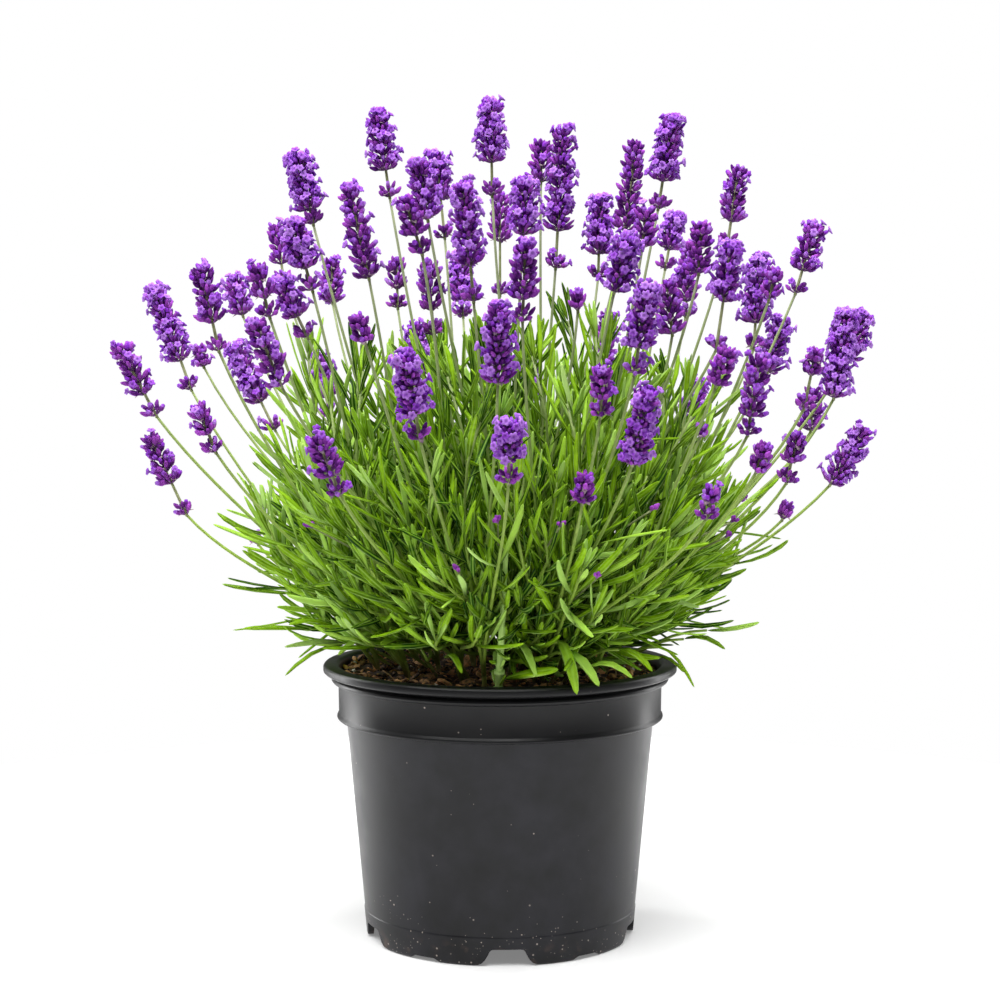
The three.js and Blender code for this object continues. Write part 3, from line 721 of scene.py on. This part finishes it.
def make_pot():
    """The pot: turned, its rings rounded, then cut for the notches, recesses and drains."""
    bm = spun(POT_PROFILE, POT_STEPS)
    rings = [
        edge
        for edge in bm.edges
        if abs(edge.verts[0].co.z - edge.verts[1].co.z) < 1e-4
        and edge.verts[0].co.xy.length > 1
        and edge.calc_face_angle() > EDGE_ANGLE
    ]
    bmesh.ops.bevel(
        bm, geom=rings, offset=EDGE_ROUNDING, segments=2, profile=0.5, affect="EDGES",
        material=-1, clamp_overlap=True,
    )
    cutters = bmesh.new()
    pitch = math.tau / NOTCH_COUNT
    drain_height, drain_depth = DRAIN_CUT
    for i in range(NOTCH_COUNT):
        angle = NOTCH_ANGLE + i * pitch
        add_cutter(cutters, NOTCH_OUTLINE, angle)
        add_cutter(cutters, RECESS_OUTLINE, angle + pitch / 2)
        middle = Matrix.Translation((DRAIN_RING, 0, drain_height))
        bmesh.ops.create_cone(
            cutters, cap_ends=True, segments=32, radius1=DRAIN_RADIUS, radius2=DRAIN_RADIUS,
            depth=drain_depth, matrix=Matrix.Rotation(angle, 4, "Z") @ middle,
        )
    bmesh.ops.recalc_face_normals(cutters, faces=cutters.faces)
    cutter = mesh_object("pot_cutters", cutters)
    piece = finish_piece("nursery_pot", bm, [PLASTIC], "pot_plastic", "pot")
    cut = piece.modifiers.new("notches", "BOOLEAN")
    cut.operation = "DIFFERENCE"
    cut.solver = "EXACT"
    cut.object = cutter
    depsgraph = bpy.context.evaluated_depsgraph_get()
    piece.data = bpy.data.meshes.new_from_object(piece.evaluated_get(depsgraph))
    piece.modifiers.remove(cut)
    bpy.data.objects.remove(cutter)
    piece.data.shade_smooth()
    piece.data.set_sharp_from_angle(angle=SHARP_ANGLE)


make_pot()

# ---- soil


def soil_height(x, y):
    """The height of the soil's gentle lumps, as the solid has them."""
    swell = math.sin(x / 9 + 0.8) * math.cos(y / 8)
    return SOIL_LEVEL + swell + math.sin(x / 5 - y / 4) / 2


def soil_surface(x, y):
    """The soil's height with the loose bark and peat that lie on it."""
    clods = noise.fractal(Vector((x, y, 0)) / CLOD_SIZE, 0.9, 2.1, 4)
    return soil_height(x, y) + LITTER_DEPTH + CLOD_RISE * clods


def make_soil():
    """The soil that fills the pot, with a lumpy top."""
    rings = [(SOIL_EDGE * (1 - i / SOIL_RINGS), SOIL_LEVEL) for i in range(SOIL_RINGS + 1)]
    bm = spun(SOIL_FOOT + rings, SOIL_STEPS)
    for vertex in bm.verts:
        if vertex.co.z > SOIL_LEVEL - 1:
            vertex.co.z = soil_surface(vertex.co.x, vertex.co.y)
    finish_piece("potting_soil", bm, [PEAT], "soil", "soil").data.shade_smooth()


def make_bark():
    """Bark chips, perlite grains and coir fibres, scattered over the soil."""
    bm = new_mesh()
    rng = random.Random(31)
    for i in range(BARK_CHIPS + PERLITE_GRAINS + COIR_FIBRES):
        spot = LITTER_REACH * math.sqrt(rng.random())
        turn = math.tau * rng.random()
        x, y = spot * math.cos(turn), spot * math.sin(turn)
        lie = math.tau * rng.random()
        ahead = Vector((math.cos(lie), math.sin(lie), rng.uniform(-0.8, 0.8))).normalized()
        rest = Vector((x, y, soil_surface(x, y) + rng.uniform(*LITTER_HEIGHTS)))
        slot = None
        if i < BARK_CHIPS:
            size = rng.choice(CHIP_LENGTHS) * rng.uniform(0.8, 1.2)
            body, width = rng.choice(CHIP_BODIES), size * rng.uniform(*CHIP_SLIMNESS)
        elif i < BARK_CHIPS + PERLITE_GRAINS:
            size = rng.uniform(*PERLITE_SIZES)
            body, width = PERLITE_BODY, size / 2
        else:
            size = rng.uniform(*FIBRE_LENGTHS)
            body, width, slot = TWIG_BODY, rng.uniform(*FIBRE_RADII), 2
        half = ahead * size / 2
        controls = [rest - half, rest + half]
        if body is TWIG_BODY:
            middle = rest + UP * rng.uniform(*FIBRE_RISES)
            controls = [rest - half - UP, middle, rest + half - UP]
        controls = [held_in(point) for point in controls]
        aslant = Vector((rng.uniform(-0.7, 0.7), rng.uniform(-0.7, 0.7), 1))
        grow(bm, body, controls, width, rng.random() ** 1.5, aslant, slot)
    finish_piece("bark_and_perlite", bm, ON_SOIL, "soil")


def held_in(point):
    """The point, or the nearest one that stays inside the pot's wall."""
    reach = point.xy.length
    limit = SOIL_EDGE - WALL_ROOM
    if reach > limit:
        point = Vector((point.x * limit / reach, point.y * limit / reach, point.z))
    return point


make_soil()
make_bark()

# ---- where heads, stems and stalks are


def solid_draws(state):
    """Seeded draws from 0 to 1, the ones that the solids were made with."""
    while True:
        state = state * 16807 % 2147483647
        yield state / 2147483647


def head_from(row):
    """A head from its row. Its axis leans outwards with its depth in the plant too."""
    x, y, z, lean, length, drop = row
    depth_lean = DEPTH_LEAN * math.atan2(y, z - SOIL_LEVEL)
    axis = Vector((math.tan(math.radians(lean)), math.tan(depth_lean), 1)).normalized()
    return SimpleNamespace(tip=Vector((x, y, z)), axis=axis, length=length, drop=drop)


def head_line(head):
    """A head's middle line, from its foot to its tip."""
    return head.tip - head.axis * (head.length + head.drop), head.tip


def gap_to_line(place, line):
    """The distance from a place to a line."""
    foot, tip = line
    run = tip - foot
    share = (place - foot).dot(run) / run.length_squared
    return (place - foot - run * clamp(share)).length


def line_gap(one, other):
    """The distance between two lines."""
    return min(gap_to_line(one[0].lerp(one[1], i / 6), other) for i in range(7))


def spread_in_depth(heads):
    """Moves heads that would touch apart in depth, as the solids are."""
    for _ in range(SPREAD_ROUNDS):
        for i, one in enumerate(heads):
            for other in heads[i + 1 :]:
                lack = HEAD_SPACING - line_gap(head_line(one), head_line(other))
                if lack > 0:
                    step = -lack if one.tip.y < other.tip.y else lack
                    one.tip.y += step / 2
                    other.tip.y -= step / 2


def stem_curve(number):
    """A stem's controls. Stems are spread like sunflower seeds and lean outwards."""
    spot = STEM_SPREAD * math.sqrt((number + 0.5) / STEM_COUNT)
    turn = number * GOLDEN_TURN
    x, y = spot * math.cos(turn), spot * math.sin(turn)
    root = Vector((x, y, soil_height(x, y)))
    outward = Vector((x, y, 0)) / STEM_SPREAD
    return [
        root + UP * (CLEARANCE - HOLE_DEPTH),
        root + UP * STEM_RISE * STEM_SHOULDER,
        root + UP * STEM_RISE + outward * STEM_LEAN * STEM_RISE,
    ]


def clearance(place, lines):
    """The distance from a place to the nearest of the lines."""
    return min(gap_to_line(place, line) for line in lines)


def near_stems(end, stems):
    """The stems that a shoot ending here may grow from, nearest first."""
    aim = Vector((end.x * ROOT_PULL, end.y * ROOT_PULL, SOIL_LEVEL))
    return sorted(stems, key=lambda stem: (stem[0] - aim).length)[:NEAR_STEMS]


def shoot_controls(stem, share, end, end_heading, bend=1):
    """A shoot's controls, from a share of its stem to its end."""
    start = on_curve(stem, share)
    reach = (end - start).length
    lead = heading(stem, 1) * STALK_LEAD * reach * bend
    return [start, start + lead, end - end_heading * STALK_RUN_IN * reach * bend, end]


def stalk_curve(head, stems, lines, share):
    """The first of the nearest stems and bends that passes the other heads clear."""
    foot, tip = head_line(head)
    others = [line for line in lines if (line[1] - tip).length > 1e-6]
    end = foot - head.axis * CLEARANCE
    best, best_room = None, -1
    for bend in STALK_BENDS:
        for stem in near_stems(end, stems):
            controls = shoot_controls(stem, share, end, head.axis, bend)
            places = [on_curve(controls, i / CURVE_STEPS) for i in range(CURVE_STEPS + 1)]
            room = min(clearance(place, others) for place in places)
            if room > HEAD_CLEARANCE:
                return controls
            if room > best_room:
                best, best_room = controls, room
    return best


def foliage_height(place):
    """How high the leaves reach above a place."""
    share = min(1, place.xy.length / FOLIAGE_RADIUS)
    return SOIL_LEVEL + (FOLIAGE_TOP - SOIL_LEVEL) * math.sqrt(1 - share * share)


def lerp(low, high, share):
    """The value at a share of the way from low to high."""
    return low + (high - low) * share


def stalk_curves(heads, stems, lines):
    """Each head's stalk. Draws that only the solids use are passed over."""
    draws = solid_draws(SOLIDS_SEED)
    for _ in stems:
        next(draws)
    curves = []
    for head in heads:
        controls = stalk_curve(head, stems, lines, lerp(*STALK_START, next(draws)))
        place = on_curve(controls, lerp(*STALK_LEAVES, next(draws)))
        if next(draws) < LEAFY_SHARE and place.z < foliage_height(place):
            next(draws)
        curves.append(controls)
    return curves


LARGE = [head_from(row) for row in LARGE_HEADS]
SMALL = [head_from(row) for row in SMALL_HEADS]
spread_in_depth(LARGE + SMALL)
STEMS = [stem_curve(i) for i in range(STEM_COUNT)]
LINES = [head_line(head) for head in LARGE + SMALL]
STALKS = stalk_curves(LARGE + SMALL, STEMS, LINES)

# ---- greenery


def hides_soil(place):
    """True for a place in the gap at the left front."""
    left, right = OPEN_SIDE
    height = OPEN_HEIGHT - OPEN_SLOPE * place.y
    return left < place.x < right and place.y < OPEN_DEPTH and place.z < height


def leaf_fits(controls):
    """True where a leaf stays clear of the flower heads, the soil and the pot."""
    for i in range(1, 9):
        place = on_curve(controls, i / 8)
        over_soil = place.xy.length < SOIL_EDGE - LEAF_MARGIN
        floor = SOIL_LEVEL + LITTER_DEPTH if over_soil else POT_HEIGHT
        if hides_soil(place) or place.z < floor + LEAF_MARGIN:
            return False
        if clearance(place, LINES) < LEAF_HEAD_CLEARANCE:
            return False
    return True


def add_leaf(bm, root, ahead, outward, length, opening, width, tint, rng):
    """A leaf that opens from its shoot by an angle. It is tried with less and less droop."""
    direction = ahead * math.cos(opening) + outward * math.sin(opening)
    curl = rng.uniform(-0.3, 0.7) * math.sin(opening)
    level = 1 - max(0, direction.z)
    for droop in (rng.uniform(-0.9, 0.1) * level, 0, -0.15):
        aside = ahead.cross(outward) * rng.uniform(-0.25, 0.25)
        bent = (direction - outward * curl + aside - UP * droop).normalized()
        middle = root + direction * LEAF_PARTS[0] * length
        controls = [root, middle, middle + bent * LEAF_PARTS[1] * length]
        if leaf_fits(controls):
            upper = (ahead + square_to(ahead) * rng.uniform(-0.5, 0.5)).normalized()
            grow(bm, LEAF_BODY, controls, width / 2, tint, upper)
            return


def add_pair(bm, controls, share, turn, length, opening, rng, tint):
    """Two leaves on opposite sides of a shoot."""
    root = on_curve(controls, share)
    low, high = BROAD_HEIGHTS
    broad = lerp(*LEAF_WIDTHS, clamp((root.z - low) / (high - low)))
    ahead = heading(controls, share)
    first = square_to(ahead)
    for side in (0, math.pi):
        outward = Matrix.Rotation(turn + side, 3, ahead) @ first
        size = length * rng.uniform(0.8, 1.12)
        width = broad * rng.uniform(0.8, 1.15) * (0.55 + 0.45 * min(1, size / FULL_LEAF))
        angle = math.radians(opening * rng.uniform(0.5, 1.6))
        shade = clamp(tint + rng.uniform(-0.4, 0.4))
        add_leaf(bm, root, ahead, outward, size, angle, width, shade, rng)


def outline_place(share):
    """The radius and height at a share of the foliage's outside, by area from the top."""
    bands = list(zip(FOLIAGE_OUTLINE, FOLIAGE_OUTLINE[1:]))
    areas = [(a[0] + b[0]) * math.dist(a, b) for a, b in bands]
    left = share * sum(areas)
    for (a, b), area in zip(bands, areas):
        if left <= area:
            break
        left -= area
    part = min(1, left / area)
    return lerp(a[0], b[0], part), lerp(a[1], b[1], part)


def curve_length(controls):
    """The length of the curve over the controls."""
    points = [on_curve(controls, i / 8) for i in range(9)]
    return sum((b - a).length for a, b in zip(points, points[1:]))


def add_shoot(bm, end, shade, rng):
    """A leafy shoot from one of the nearest stems, with its leaves closest at its tip."""
    stem = rng.choice(near_stems(end, STEMS)[:3])
    fan = Vector((end.x * FAN_SPREAD, end.y * FAN_SPREAD, end.z - FAN_CENTRE)).normalized()
    sway = Vector((rng.uniform(-0.55, 0.55), rng.uniform(-0.55, 0.55), rng.uniform(-0.15, 0.4)))
    controls = shoot_controls(stem, rng.uniform(*SHOOT_STARTS), end, (fan + sway).normalized())
    length = curve_length(controls)
    grow(bm, TWIG_BODY, controls, SHOOT_RADII, rng.random())
    turn = rng.uniform(0, math.pi)
    tint = shade + rng.uniform(-0.32, 0.32)
    for distance, leaf, opening in SHOOT_NODES:
        share = 1 - distance / length
        if share < LOWEST_NODE:
            break
        add_pair(bm, controls, share, turn, leaf, opening, rng, tint)
        turn += math.pi / 2 + rng.uniform(-0.3, 0.3)
        # Painted shade: each lower pair is darker.
        tint -= NODE_SHADE


def make_shoots(prefix, count, reaches, shade, seed):
    """Shoots that end at a share of the way out to the outline, in two halves."""
    front, back = new_mesh(), new_mesh()
    rng = random.Random(seed)
    for i in range(count):
        radius, height = outline_place((i + 0.5) / count)
        turn = i * GOLDEN_TURN
        reach = rng.uniform(*reaches) + rng.choice(LONG_SHOOTS)
        if height < RAGGED_HEIGHT:
            reach -= RAGGED_SHARE * rng.random() ** 2
        x, y = radius * math.cos(turn), radius * math.sin(turn)
        end = Vector((x, y, height - FOLIAGE_MIDDLE)) * reach + UP * FOLIAGE_MIDDLE
        add_shoot(front if y < 0 else back, end, shade, rng)
    finish_piece(prefix + "front_shoots", front, GREENERY, "greenery", "greenery")
    finish_piece(prefix + "back_shoots", back, GREENERY, "greenery", "greenery")


def add_front_stem(bm, rng):
    """The stout stem at the front, with a swelling and a pair of leaves at each joint."""
    controls = [Vector(place) for place in FRONT_STEM]
    grow(bm, STALK_BODY, controls, FRONT_STEM_RADII, 1, slot=1)
    for share in FRONT_JOINTS:
        joint = [on_curve(controls, share - 0.015), on_curve(controls, share + 0.015)]
        grow(bm, TWIG_BODY, joint, FRONT_STEM_RADII[0] * 1.3, 1, slot=2)
        add_pair(bm, controls, share + 0.01, 0.4, 12, 45, rng, 0.8)


def make_stalks():
    """The stems, and the stalks that carry the heads, with pairs of leaves low on them."""
    bm = new_mesh()
    rng = random.Random(5)
    for stem in STEMS:
        grow(bm, TWIG_BODY, stem, (STEM_RADIUS, STEM_RADIUS * 0.75), rng.random())
    for line in STALKS:
        chord = [line[0].lerp(line[3], share) for share in (0, 1 / 3, 2 / 3, 1)]
        controls = [a.lerp(b, STALK_STRAIGHTNESS) for a, b in zip(line, chord)]
        grow(bm, STALK_BODY, controls, STALK_RADII, rng.random())
        length = curve_length(controls)
        turn = rng.uniform(0, math.pi)
        distance = rng.uniform(12, 25)
        while distance < LEAFY_STALK_SHARE * length:
            place = on_curve(controls, distance / length)
            if place.z > foliage_height(place) - 12:
                break
            tint = rng.uniform(0.3, 0.8)
            add_pair(bm, controls, distance / length, turn, *STALK_LEAF, rng, tint)
            turn += math.pi / 2
            distance += STALK_NODE_GAP * rng.uniform(0.8, 1.2)
    add_front_stem(bm, rng)
    for foot, tip, rise, width in RIM_LEAVES:
        foot, tip = Vector(foot), Vector(tip)
        root = Vector((foot.x / 2, foot.y / 2, SOIL_LEVEL))
        bend = Vector((foot.x * 0.75, foot.y * 0.75, foot.z))
        grow(bm, TWIG_BODY, [root, bend, foot], (1, 0.7), rng.random())
        controls = [foot, (foot + tip) / 2 + UP * rise * 2, tip]
        grow(bm, LEAF_BODY, controls, width * 0.55, rng.uniform(0.4, 1), RIM_LEAF_UPPER)
    finish_piece("stems_and_stalks", bm, GREENERY, "greenery", "greenery")


make_stalks()
make_shoots("", *OUTER_SHOOTS, seed=11)
make_shoots("inner_", *INNER_SHOOTS, seed=23)

# ---- flower heads


def add_bud(bm, start, end, width, tint, axis, bloom, rng):
    """A calyx that curves upwards. By chance its petals show or stand open, facing out."""
    run = end - start
    middle = start.lerp(end, 0.5) - axis * BUD_SAG * run.length
    chance = rng.random()
    body = BUD_BODY if chance < SHOWING_SHARE + bloom else CALYX_BODY
    grow(bm, body, [start, middle, end], width, tint)
    if chance < bloom:
        outward = (run - axis * run.dot(axis)).normalized()
        ahead = (end - middle).normalized()
        mouth = end - ahead * FLOWER_DEPTH
        facing = (ahead + outward * rng.uniform(0, 1)).normalized()
        tip = mouth + facing * rng.uniform(*FLOWER_LENGTHS)
        size = rng.uniform(*FLOWER_WIDTHS)
        grow(bm, COROLLA_BODY, [mouth, mouth + ahead * 1.5, tip], size, rng.uniform(0.2, 1))


def add_whorl(bm, head, foot, base, top, reach, buds, bloom, rng):
    """Buds and bracts round the axis, from the height base out to reach at the height top.
    Between its outer buds stand inner ones, which in a loose whorl aren't all there."""
    axis = head.axis
    full = buds == WHORL_BUDS[0]
    stoutness = STOUTNESS[not full]
    first = square_to(axis)
    twist = rng.uniform(0, math.tau)
    rise = top - base

    def bud(start, end, tints):
        tint = clamp(rng.gauss(*tints))
        add_bud(bm, start, end, stoutness * rng.uniform(*BUD_WIDTHS), tint, axis, bloom, rng)

    for j in range(buds):
        turn = twist + math.tau * (j + rng.uniform(-0.2, 0.2)) / buds
        outward = Matrix.Rotation(turn, 3, axis) @ first
        start = foot + axis * (base + rng.uniform(-0.3, 0.3)) + outward * 0.7
        out = reach * rng.uniform(0.74, 1.12)
        bud(start, foot + axis * (top + rng.uniform(-1.8, 1.8)) + outward * out, OUTER_TINTS)
        if full or j % 3 < 2:
            inner = Matrix.Rotation(math.pi / buds, 3, axis) @ outward
            start = start + axis * 0.5 * rise
            height = top + rng.uniform(0.4, 0.8) * rise
            bud(start, foot + axis * height + inner * reach * INNER_REACH, INNER_TINTS)
        if j % 3 == 0:
            tip = foot + axis * (base + 0.1 * rise) + outward * rng.uniform(*BRACT_LENGTHS)
            grow(bm, BRACT_BODY, [start, tip], BRACT_WIDTH, rng.random(), axis)


def add_head(bm, head, rng):
    """A head: its axis, its whorls, the lone whorl below them and a tuft at the tip."""
    foot, tip = head_line(head)
    young_length, young_bloom = YOUNG_BLOOM
    bloom = rng.choice(BLOOMS) if head.length > young_length else young_bloom
    loose = bloom < LOOSE_BELOW
    grow(bm, TWIG_BODY, [foot - head.axis, tip - head.axis * 3], AXIS_RADII, rng.random())
    if head.drop > 0:
        add_whorl(bm, head, foot, *LONE_WHORL, bloom * 0.4, rng)
    spread = WHORL_RADIUS * min(1, 0.1 + 0.9 * head.length / FULL_LENGTH)
    whorls = max(1, int(head.length / WHORL_PITCHES[loose] - CROWN + 0.5))
    pitch = head.length / (whorls + CROWN)
    for k in range(1, whorls + 1):
        reach = spread * (1 - HEAD_TAPER * (k - 1) / whorls)
        base = max(0.5, head.drop + pitch * (k - 0.9))
        top = head.drop + pitch * (k - 0.15)
        add_whorl(bm, head, foot, base, top, reach, WHORL_BUDS[loose], bloom, rng)
    first = square_to(head.axis)
    for j in range(CROWN_BUDS):
        turn = math.tau * j / CROWN_BUDS + rng.random()
        outward = Matrix.Rotation(turn, 3, head.axis) @ first
        start = tip - head.axis * (0.95 * pitch)
        end = tip - head.axis * rng.uniform(0, 2) + outward * rng.uniform(1.2, 3.4)
        tint = rng.random() * 0.7
        add_bud(bm, start, end, CROWN_WIDTH, tint, head.axis, 1.4 * bloom, rng)


def add_stray_buds(bm, place, rng):
    """A few closed buds on a short thread of a stalk, half hidden among the leaves."""
    base = Vector(place)
    outward = Vector((base.x, base.y, 60)).normalized()
    grow(bm, TWIG_BODY, [base - outward * 30, base - outward * 14, base], 0.5, rng.random())
    for _ in range(rng.randint(3, 4)):
        aside = Vector((rng.uniform(-1, 1), rng.uniform(-1, 1), rng.uniform(0, 1)))
        end = base + aside * 2.6 + outward * rng.uniform(3.5, 5)
        bent = [base, base.lerp(end, 0.6), end]
        grow(bm, CALYX_BODY, bent, STRAY_WIDTH, rng.uniform(0.3, 1))


def make_heads():
    """A piece for each large head, and one for the small heads and the stray buds."""
    for i, head in enumerate(LARGE):
        bm = new_mesh()
        add_head(bm, head, random.Random(100 + i))
        finish_piece(f"bloom_{i + 1:02d}", bm, FLOWER, "flowers", f"flower_head_{i + 1:02d}")
    bm = new_mesh()
    for i, head in enumerate(SMALL):
        add_head(bm, head, random.Random(200 + i))
    rng = random.Random(300)
    for place in STRAY_BUDS:
        add_stray_buds(bm, place, rng)
    finish_piece("small_blooms", bm, FLOWER, "flowers", "greenery")


make_heads()

# ---- floor, light and camera


def make_floor():
    """A round sheet of white paper, just under the pot."""
    bm = bmesh.new()
    bmesh.ops.create_circle(bm, cap_ends=True, segments=96, radius=FLOOR_RADIUS)
    bmesh.ops.translate(bm, vec=(0, 0, -FLOOR_DROP), verts=bm.verts)
    floor = mesh_object("floor", bm, [white_paper()])


def add_light(name, place, size, power):
    """A soft box at a place, aimed at the plant's foot."""
    light = bpy.data.lights.new(name, "AREA")
    light.shape = "RECTANGLE"
    light.size, light.size_y = size
    light.energy = power
    lamp = add_object(name, light)
    lamp.location = place
    lamp.rotation_euler = (LIGHTS_AIM - Vector(place)).to_track_quat("-Z", "Y").to_euler()
    lamp.visible_camera = False


def make_world():
    """White all round: pure white behind the object, and softer as light."""
    world = bpy.data.worlds.new("white_studio")
    world.use_nodes = True
    world.node_tree.nodes.clear()
    add = partial(add_node, world.node_tree)
    seen = add("LightPath", out="Is Camera Ray")
    light = add("Background", {"Color": "#ffffff", "Strength": SKY_LIGHT})
    behind = add("Background", {"Color": "#ffffff", "Strength": 1})
    mix = add("MixShader", (seen, light, behind))
    add("OutputWorld", {"Surface": mix})
    bpy.context.scene.world = world


def make_camera():
    """The photograph's camera: 1.2 m away, level with the leaves, looking slightly down."""
    camera = bpy.data.cameras.new("camera")
    camera.sensor_width = 36
    camera.lens = LENS
    camera.clip_start = 0.05
    holder = add_object("camera", camera)
    holder.location = CAMERA_PLACE
    holder.rotation_euler = (CAMERA_TILT, 0, 0)
    bpy.context.scene.camera = holder


make_floor()
make_world()
for name, settings in LIGHTS.items():
    add_light(name, *settings)
make_camera()
bpy.context.scene.view_settings.view_transform = "Standard"
